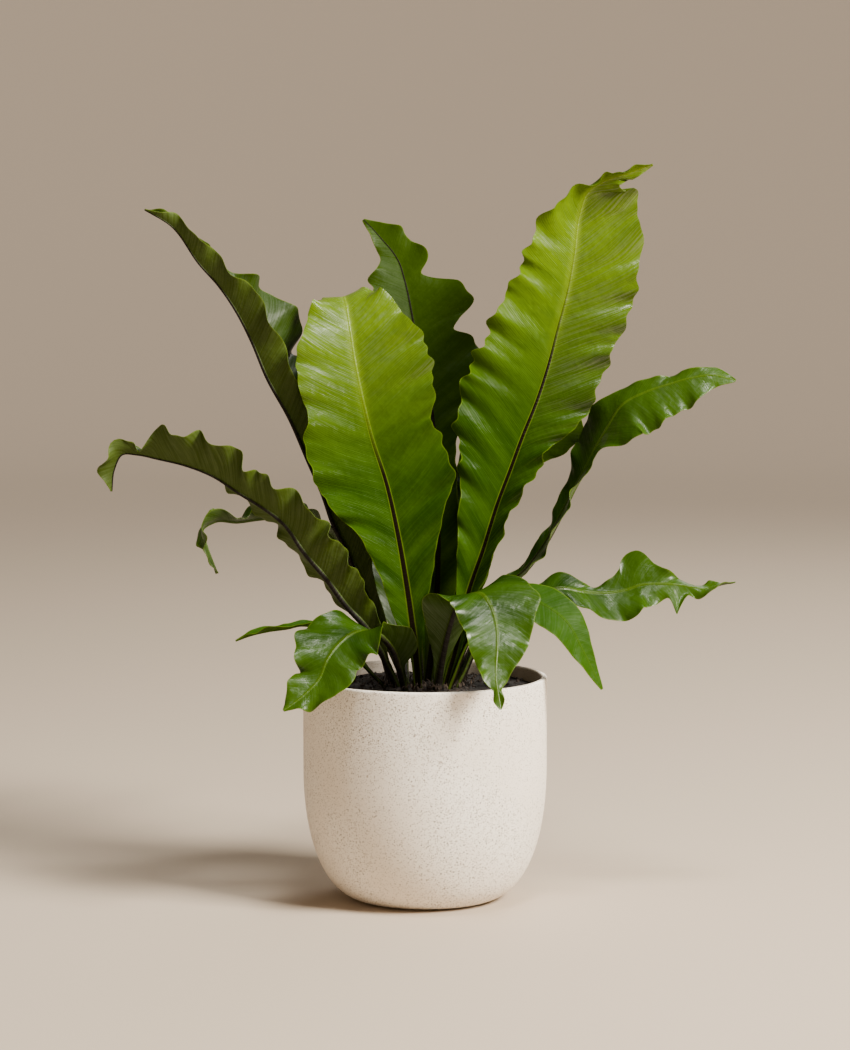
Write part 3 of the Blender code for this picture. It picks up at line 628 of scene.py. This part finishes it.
def turned(profile, segments, offset=None):
    """Points and faces of a profile of (radius, height) turned about Z, with its ends on the axis.

    offset(x, y, z) is how far a point is lifted.
    """
    angles = 2 * np.pi * np.arange(segments) / segments
    rings = [np.stack([r * np.cos(angles), r * np.sin(angles), np.full(segments, z)], 1)
             for r, z in profile[1:-1]]
    points = np.concatenate([[(0, 0, profile[0][1])], *rings, [(0, 0, profile[-1][1])]])
    if offset:
        for point in points:
            point[2] += offset(*point)
    faces = []
    last, rows = len(points) - 1, len(profile) - 2
    for i in range(segments):
        j = (i + 1) % segments
        faces.append((0, 1 + j, 1 + i))
        for row in range(rows - 1):
            low, high = 1 + row * segments, 1 + (row + 1) * segments
            faces.append((low + i, low + j, high + j, high + i))
        top = 1 + (rows - 1) * segments
        faces.append((last, top + i, top + j))
    return points, faces


def arc(centre, radius, start, end, steps):
    """Points of an arc as (radius, height); angles are in degrees from the horizontal."""
    angles = np.radians(np.linspace(start, end, steps + 1))
    return [(centre[0] + radius * math.cos(a), centre[1] + radius * math.sin(a)) for a in angles]


# The pot, the soil and the crown.

def belly(foot, side, low, high):
    """The curved bottom from (foot, low) to (side, high), as (radius, height)."""
    angles = np.linspace(0, math.pi / 2, BELLY_STEPS + 1)
    out = np.sin(angles) ** (2 / BELLY_POWER)
    up = 1 - np.cos(angles) ** (2 / BELLY_POWER)
    return list(zip(foot + (side - foot) * out, low + (high - low) * up))


def straight(start, end, steps):
    """Points between two points of a profile, without its ends."""
    return [tuple(np.array(start) + (np.array(end) - start) * i / steps) for i in range(1, steps)]


def make_pot():
    """One closed wall: up the outside, round the rim, and down the inside."""
    inner = POT_R - POT_WALL
    outside = belly(FOOT_R, POT_R, 0.0, BELLY_H)
    inside = belly(FOOT_R - POT_WALL, inner, POT_BASE, BELLY_H)[::-1]
    rim = arc((POT_R - LIP_ROUND, POT_H - LIP_ROUND), LIP_ROUND, 0, 90, LIP_STEPS)
    rim += arc((inner + LIP_ROUND, POT_H - LIP_ROUND), LIP_ROUND, 90, 180, LIP_STEPS)
    profile = [(0.0, 0.0), (FOOT_R * 0.5, 0.0)] + outside + straight(outside[-1], rim[0], WALL_STEPS) + rim
    profile += straight(rim[-1], inside[0], WALL_STEPS) + inside + [(0.0, POT_BASE)]
    points, faces = turned(profile, POT_SEGMENTS)
    add_piece("pot_turned", points, faces, stoneware_material(), "stoneware", "pot", sharp=50)


def soil_height(x, y):
    """Height of the rough soil surface."""
    radius = math.hypot(x, y) / POT_R
    place = Vector((x, y, 0.0))
    waves = SOIL_WAVES * noise.noise(place * SOIL_WAVE_RATE)
    lumps = SOIL_LUMPS * noise.fractal(place * SOIL_LUMP_RATE, 0.8, 2.1, 5)
    return SOIL_Z - SOIL_FALL * radius ** 2 + waves + lumps


def make_soil(random):
    """A rough bed of soil with bark chips and grains of perlite on it."""
    earth = crumb_material("potting_soil", (0.003, 0.002, 0.0015), (0.018, 0.011, 0.007), 260.0, 0.95)
    side = POT_R - POT_WALL - GAP
    low = SOIL_Z - SOIL_DEPTH
    profile = [(0.0, low), (side * 0.5, low), (side, low)]
    profile += [(side * (1 - i / SOIL_ROWS), SOIL_Z) for i in range(SOIL_ROWS + 1)]

    def rough(x, y, z):
        return soil_height(x, y) - SOIL_Z if z == SOIL_Z else 0.0

    points, faces = turned(profile, SOIL_SEGMENTS, rough)
    add_piece("soil_bed", points, faces, earth, "earth", "soil", sharp=180)
    bark = crumb_material("bark_chips", (0.006, 0.0035, 0.002), (0.050, 0.028, 0.015), 320.0, 0.9)
    perlite = crumb_material("perlite", (0.30, 0.28, 0.25), (0.60, 0.58, 0.54), 500.0, 0.9)
    scatter("soil_bark", random, BARK_CHIPS, (1.2, 4.2), (0.35, 0.75), bark, side)
    scatter("soil_perlite", random, PERLITE_GRAINS, (0.6, 1.3), (0.75, 1.0), perlite, side)


def lump():
    """A unit ball of 42 points, as points and triangles."""
    mesh = bpy.data.meshes.new("lump")
    ball = bmesh.new()
    bmesh.ops.create_icosphere(ball, subdivisions=2, radius=1.0)
    ball.to_mesh(mesh)
    ball.free()
    points = np.array([v.co for v in mesh.vertices])
    faces = [tuple(p.vertices) for p in mesh.polygons]
    bpy.data.meshes.remove(mesh)
    return points, faces


def turn_matrix(random):
    """A random rotation."""
    q, r = np.linalg.qr(random.normal(size=(3, 3)))
    return q * np.sign(np.diag(r))


def scatter(name, random, count, sizes, flatness, material, reach):
    """Many small lumps strewn on the soil between the crown and the pot, as one piece.

    sizes are in millimetres, and flatness is a lump's least and greatest height as a share of its size.
    """
    ball, triangles = lump()
    points, faces = [], []
    for i in range(count):
        size = random.uniform(*sizes) * MM / 2
        scale = np.array([1.0, random.uniform(0.5, 0.9), random.uniform(*flatness)]) * size
        shape = ball * (1 + 0.35 * random.uniform(-1, 1, (len(ball), 1)))
        shape = shape * scale @ turn_matrix(random).T
        radius = math.sqrt(random.uniform((CROWN_R * 0.75) ** 2, (reach - size * 1.2) ** 2))
        angle = random.uniform(0, 2 * math.pi)
        x, y = radius * math.cos(angle), radius * math.sin(angle)
        points.append(shape + (x, y, soil_height(x, y) + size * random.uniform(-0.2, 0.4)))
        faces += [tuple(index + i * len(ball) for index in face) for face in triangles]
    add_piece(name, np.concatenate(points), faces, material, "earth", sharp=28)


def make_crown():
    """The lumpy rootstock on which the stipes stand."""
    husk = crumb_material("rootstock_husk", (0.005, 0.003, 0.002), (0.030, 0.018, 0.010), 300.0, 0.95)
    low = SOIL_Z - CROWN_DEPTH
    side = CROWN_R * 0.98
    foot = SOIL_Z - CROWN_SHOULDER
    profile = [(0.0, low), (side, low)]
    profile += [(side * math.cos(a), foot + (CROWN_TOP - foot) * math.sin(a) ** 0.6)
                for a in np.linspace(0, math.pi / 2, CROWN_ROWS)]

    def rough(x, y, z):
        lumps = noise.fractal(Vector((x, y, 0.0)) * CROWN_LUMP_RATE, 0.7, 2.0, 4)
        return CROWN_LUMPS * lumps - CROWN_SUNK if z > low else 0.0

    points, faces = turned(profile, CROWN_SEGMENTS, rough)
    add_piece("crown_husk", points, faces, husk, "rootstock", "crown", sharp=180)


def crown_scale(random, spine):
    """Rings of four points along one papery scale that stands out of the crown and bows outwards."""
    radius = CROWN_R * math.sqrt(random.uniform(0.02, 1.0))
    angle = random.uniform(0, 2 * math.pi)
    length, half = random.uniform(4, 9) * MM, random.uniform(0.5, 1.1) * MM
    lean = random.uniform(0.1, 1.1)
    swing = random.uniform(-0.8, 0.8)
    bow = lean + spine * random.uniform(-1.4, 0.3)
    out = np.array([math.cos(angle), math.sin(angle), 0.0])
    heading = out * math.cos(swing) + np.cross((0, 0, 1), out) * math.sin(swing)
    across = np.cross(heading, (0, 0, 1))
    ahead, rise = spine * np.sin(bow), 0.7 * spine * np.cos(bow)
    path = out * radius + (0, 0, CROWN_TOP - 0.0015)
    path = path + length * (heading * ahead[:, None] + np.array([0, 0, 1]) * rise[:, None])
    wide = across * (half * np.sin(np.pi * (0.15 + 0.8 * spine)))[:, None]
    thick = heading * 0.2 * MM
    return np.stack([path - wide, path + thick, path + wide, path - thick], 1)


def make_crown_scales(random):
    """The papery brown scales between the stipes, as one piece."""
    papery = crumb_material("crown_scales", (0.014, 0.008, 0.004), (0.070, 0.040, 0.020), 400.0, 0.85)
    spine = np.linspace(0, 1, SCALE_ROWS)
    scales = [crown_scale(random, spine) for _ in range(CROWN_SCALES)]
    faces = []
    for first in range(0, 4 * SCALE_ROWS * CROWN_SCALES, 4 * SCALE_ROWS):
        for row in range(first, first + 4 * (SCALE_ROWS - 1), 4):
            for k in range(4):
                a, b = row + k, row + (k + 1) % 4
                faces.append((a, b, b + 4, a + 4))
        last = first + 4 * (SCALE_ROWS - 1)
        faces.append((first + 3, first + 2, first + 1, first))
        faces.append((last, last + 1, last + 2, last + 3))
    points = np.concatenate(scales).reshape(-1, 3)
    add_piece("crown_scale_tuft", points, faces, papery, "rootstock", sharp=50)


# The fronds.

def unit(vectors):
    """The same directions with length 1."""
    return vectors / np.linalg.norm(vectors, axis=-1, keepdims=True)


def through(knots, values, at, monotone=False):
    """A smooth curve through values at knots; a monotone one never overshoots a value."""
    knots, values, at = (np.asarray(item, float) for item in (knots, values, at))
    values = values.reshape(len(knots), -1)
    steps = np.diff(knots)[:, None]
    rates = np.diff(values, axis=0) / steps
    slopes = np.concatenate([rates[:1], np.zeros_like(values[2:]), rates[-1:]])
    slopes[1:-1] = (steps[1:] * rates[:-1] + steps[:-1] * rates[1:]) / (steps[:-1] + steps[1:])
    if monotone:
        limit = 2 * np.minimum(abs(rates[:-1]), abs(rates[1:]))
        limit[rates[:-1] * rates[1:] <= 0] = 0
        slopes[1:-1] = np.clip(slopes[1:-1], -limit, limit)
    span = np.clip(np.searchsorted(knots, at, side="right") - 1, 0, len(knots) - 2)
    t = np.clip((at - knots[span]) / steps[span, 0], 0, 1)[..., None]
    start, end, width = values[span], values[span + 1], steps[span]
    curve = start + (end - start) * (3 - 2 * t) * t * t
    return curve + width * t * (1 - t) * ((1 - t) * slopes[span] - t * slopes[span + 1])


def along(pairs, at):
    """The value at each share of the length: pairs is one number or a list of (share, value)."""
    if not isinstance(pairs, list):
        return np.full(np.shape(at), float(pairs))
    shares, values = zip(*pairs)
    return through(shares, values, at, monotone=True)[..., 0]


def pick(frame_values, share, where):
    """Vectors along the midrib, read at each share in where."""
    return np.stack([np.interp(where, share, axis) for axis in frame_values.T], -1)


def midrib(frond, samples=800):
    """The centre line of a frond, finely sampled.

    Gives the samples' shares of the length, the length, the line with its three directions, the
    stations' shares, and the stations' half widths.
    """
    stations = np.array(frond["stations"], float) * MM
    points = stations[:, :3] + (0, 0, SOIL_Z)
    points[0, 2] = CROWN_TOP + GAP
    chord = np.linalg.norm(np.diff(points, axis=0), axis=1)
    knots = np.concatenate([[0], np.cumsum(chord)])
    dense = through(knots, points, np.linspace(0, knots[-1], 4 * samples))
    walked = np.concatenate([[0], np.cumsum(np.linalg.norm(np.diff(dense, axis=0), axis=1))])
    nearest = [np.argmin(np.linalg.norm(dense - point, axis=1)) for point in points]
    length = walked[-1]
    share = np.linspace(0, 1, samples)
    line = np.stack([np.interp(share * length, walked, axis) for axis in dense.T], 1)
    tangent = unit(np.gradient(line, axis=0))
    facing = math.radians(frond["facing"])
    upper = np.zeros_like(line)
    upper[0] = (math.cos(facing), math.sin(facing), 0)
    for i in range(samples):
        carried = upper[max(i - 1, 0)]
        upper[i] = unit(carried - tangent[i] * (carried @ tangent[i]))
    right = np.cross(tangent, upper)
    roll = np.radians(along(frond.get("roll", 0), share))[:, None]
    upper = upper * np.cos(roll) + right * np.sin(roll)
    traced = {"line": line, "upper": upper, "right": np.cross(tangent, upper), "tangent": tangent}
    return share, length, traced, walked[nearest] / length, stations[:, 3:]


def pleat(vein, phase):
    """Height of the soft folds along the veins, at most 1.5 either way; vein is in millimetres."""
    ply = np.sin(vein * 0.41 + 2.5 * np.sin(vein * 0.047 + phase)) * (0.6 + 0.4 * np.sin(vein * 0.083))
    return ply + 0.5 * np.sin(vein * 0.77 + 3 * np.sin(vein * 0.061 + 4 * phase))


def half_blade(frond, side, at, rib, traced, looks):
    """The half of a frond on one side of its centre line: points, and what the leaf shader reads."""
    share, length, frame_of, knots, widths = traced
    index = 1 if side > 0 else 0
    height, wavelength, phase = frond["ruffle"][index]

    # Where each point lies along the leaf, and how far out, with the cut margin.
    edge = (rib * RIB_EDGE)[:, None]
    slant = (VEIN_SLANT * widths.mean() / length * along(SLANT_REACH, at))[:, None]
    rib_part = np.concatenate([RIB_COLUMNS, np.ones_like(BLADE_COLUMNS)])
    part = np.concatenate([np.zeros_like(RIB_COLUMNS), BLADE_COLUMNS])
    where = np.clip(at[:, None] + slant * part, 0, 1)
    width = through(knots, widths[:, index], where, monotone=True)[..., 0]
    vein = at[:, None] * length / MM
    wave = 2 * math.pi * (vein / wavelength + phase)
    reach = along(RUFFLE_REACH, at)[:, None]
    cut = np.sin(wave + 0.9 * np.sin(wave) + 1.2) + 0.4 * np.sin(2.37 * wave + 0.7)
    width = np.maximum(width * (1 + looks["scallop"][index] * reach * cut), edge * NARROWEST)
    out = edge * rib_part + (width - edge) * part

    # The half blade folds up from the midrib, curls along an arc, and may lean along the midrib.
    fold = np.radians(along(frond["fold"][index], where))
    curl = np.radians(along(frond.get("curl", (0, 0))[index], where)) + 1e-5
    bend = curl / width
    angle = fold + bend * out
    sideways = (np.sin(angle) - np.sin(fold)) / bend
    upwards = (np.cos(fold) - np.cos(angle)) / bend
    lean = np.radians(along(frond.get("lean", (0, 0))[index], where))[..., None]
    across = unit(pick(frame_of["right"], share, where)) * side * np.cos(lean)
    across = across + unit(pick(frame_of["tangent"], share, where)) * np.sin(lean)
    upper = unit(pick(frame_of["upper"], share, where))
    outwards = upper * np.cos(angle)[..., None] - across * np.sin(angle)[..., None]

    # Waves that grow towards the margin, and pleats along the veins.
    swell = np.sin(wave) + 0.35 * np.sin(1.73 * wave + 1.9)
    lift = height * swell * (out / width) ** 2.2 + looks["pleats"] * pleat(vein, phase) * part ** 0.7
    lift = reach * (lift + 0.3 * height * np.sin(wave * 2.3 + 5 * phase) * part ** 5)
    points = pick(frame_of["line"], share, where) + across * sideways[..., None]
    points = points + upper * upwards[..., None] + outwards * (lift * MM)[..., None]

    shares = {
        "vein": vein * MM - VEIN_TURN * out, "out": out * side, "rib": out / edge,
        "margin": width - out, "share": where, "part": np.broadcast_to(part, out.shape),
        "wax": along(looks["wax"][index], where),
    }
    return points, shares


def make_frond(name, frond, looks, materials):
    """One closed leaf: an upper and a lower face with a raised midrib, and a foot in the crown."""
    traced = midrib(frond)
    at = np.linspace(0, 1, RINGS)
    rib = STIPE_R * frond.get("stipe", 1.0) * along(RIB_TAPER, at)
    left, left_shares = half_blade(frond, -1, at, rib, traced, looks)
    right, right_shares = half_blade(frond, 1, at, rib, traced, looks)
    grid = np.concatenate([left[:, :0:-1], right], axis=1)
    values = {key: np.concatenate([left_shares[key][:, :0:-1], right_shares[key]], axis=1)
              for key in left_shares}

    # The two faces, further apart at the midrib.
    upper = unit(np.cross(np.gradient(grid, axis=1), np.gradient(grid, axis=0)))
    inside = np.clip(1 - values["rib"] ** 2, 0, 1)
    half = 0.5 * LEAF_THICK * (1 - 0.6 * values.pop("part") ** 30)
    above = grid + upper * (half + RIB_RISE * rib[:, None] * inside ** 1.5)[..., None]
    below = grid - upper * (half + RIB_DROP * rib[:, None] * inside ** 0.7)[..., None]
    rings = np.concatenate([above, below[:, ::-1]], axis=1)
    values = {key: np.concatenate([v, v[:, ::-1]], axis=1) for key, v in values.items()}
    values["top"] = np.concatenate([np.ones(grid.shape[:2]), np.zeros(grid.shape[:2])], axis=1)
    start, end = looks["dark"]
    values["black"] = 1 - np.clip((values["share"] - start) / (end - start), 0, 1)

    # The foot, cut level on the crown and sunk into it.
    tangent, level = traced[2]["tangent"][0], traced[2]["line"][0, 2]
    rings[0] = rings[0] + tangent * ((level - rings[0][:, 2:]) / tangent[2])
    buried = rings[0] - tangent * (FOOT_BURIED / tangent[2])
    rings = np.concatenate([buried[None], rings])
    values = {key: np.concatenate([v[:1], v]).ravel() for key, v in values.items()}

    # Quads from ring to ring, and a row of quads over each end.
    count, size = rings.shape[:2]
    row, column = np.meshgrid(np.arange(count - 1) * size, np.arange(size), indexing="ij")
    following = (column + 1) % size
    quads = np.stack([row + column, row + size + column, row + size + following, row + following], -1)
    faces = quads.reshape(-1, 4).tolist()
    for j in range(size // 2 - 1):
        cap = (j, j + 1, size - 2 - j, size - 1 - j)
        faces.append(cap)
        faces.append(tuple((count - 1) * size + i for i in cap[::-1]))
    add_piece(name.replace("frond", "leaf"), rings.reshape(-1, 3), faces, materials[looks["tone"]],
              "leaf", name, **values)


def make_fronds():
    """Every frond, in the leaf material that its looks name."""
    materials = {tone: leaf_material(tone, **looks) for tone, looks in TONES.items()}
    for name, frond in FRONDS.items():
        make_frond(name, frond, LOOKS[name], materials)


# The studio, in metres.

FLOOR_FLAT = 4.2  # radius at which the floor starts to rise
FLOOR_WALL = 6.5
FLOOR_HEIGHT = 4.0
FLOOR_SEGMENTS = 96
FLOOR_PALE = (0.47, 0.385, 0.295, 1.0)
# Painted light: the floor's far part glows where the lamps hardly reach.
FAR_PAINTED_GLOW = 0.42  # own light of the floor's far part, which the lights hardly reach

# Name, place, width, watts and colour of each light.
LIGHTS = [
    ("key", (1.9, -1.2, 1.9), 0.9, 265, (1.0, 0.94, 0.84)),
    ("top", (0.2, -0.7, 2.6), 0.5, 44, (1.0, 0.97, 0.92)),
    ("back", (0.8, 2.0, 1.9), 1.4, 24, (1.0, 0.97, 0.92)),
]
SKY = (0.95, 0.90, 0.82, 1.0)
SKY_STRENGTH = 0.12

CAMERA_PLACE = (0, -2.2, 0.474)
CAMERA_DOWN = 5.13  # degrees
LENS = 103  # millimetres, on a sensor 36 mm wide


def floor_material():
    """Matt and pale, with painted light: a glow of its own that grows with the distance from the plant."""
    material, tree, surface = new_material("floor_plain")
    surface.inputs["Base Color"].default_value = FLOOR_PALE
    surface.inputs["Roughness"].default_value = 0.9
    surface.inputs["Emission Color"].default_value = FLOOR_PALE
    far = put(tree, "ShaderNodeVectorMath", {0: object_place(tree)}, operation="LENGTH").outputs["Value"]
    # Painted light on the far floor and wall, growing with the distance from the plant.
    tree.links.new(ramp(tree, far, 0.8, 5.0, 0.0, FAR_PAINTED_GLOW), surface.inputs["Emission Strength"])
    return material


def make_floor():
    """A pale floor that curves up all around."""
    rise = FLOOR_WALL - FLOOR_FLAT
    profile = [(0.0, 0.0)] + [(r, 0.0) for r in np.linspace(0.4, FLOOR_FLAT, 8)]
    profile += [(FLOOR_FLAT + rise * math.sin(a), rise * (1 - math.cos(a)))
                for a in np.linspace(0, math.pi / 2, 25)[1:]]
    profile += [(FLOOR_WALL, FLOOR_HEIGHT), (0.0, FLOOR_HEIGHT)]
    points, faces = turned(profile, FLOOR_SEGMENTS)
    open_top = [face for face in faces if len(points) - 1 not in face]
    mesh = bpy.data.meshes.new("floor")
    mesh.from_pydata(points[:-1].tolist(), [], open_top)
    mesh.shade_smooth()
    mesh.materials.append(floor_material())
    floor = bpy.data.objects.new("floor", mesh)
    bpy.context.scene.collection.objects.link(floor)


def make_world():
    """The even light of a pale room."""
    world = bpy.data.worlds.new("studio")
    world.use_nodes = True
    background = world.node_tree.nodes["Background"]
    background.inputs["Color"].default_value = SKY
    background.inputs["Strength"].default_value = SKY_STRENGTH
    bpy.context.scene.world = world


def add_light(name, place, size, watts, colour):
    """A square soft light that looks at the plant's middle."""
    data = bpy.data.lights.new(name, "AREA")
    data.size = size
    data.energy = watts
    data.color = colour
    light = bpy.data.objects.new(name, data)
    bpy.context.scene.collection.objects.link(light)
    light.location = place
    aim = Vector((0, 0, (cad_box[0].z + cad_box[1].z) / 2)) - Vector(place)
    light.rotation_euler = aim.to_track_quat("-Z", "Y").to_euler()


def make_camera():
    """Looks at the plant from the front, a little down."""
    data = bpy.data.cameras.new("camera")
    data.sensor_width = 36
    data.lens = LENS
    camera = bpy.data.objects.new("camera", data)
    bpy.context.scene.collection.objects.link(camera)
    camera.location = CAMERA_PLACE
    camera.rotation_euler = (math.radians(90 - CAMERA_DOWN), 0, 0)
    bpy.context.scene.camera = camera


make_camera()
make_floor()
for light in LIGHTS:
    add_light(*light)
make_world()
random = np.random.RandomState(11)
make_pot()
make_soil(random)
make_crown()
make_crown_scales(random)
make_fronds()
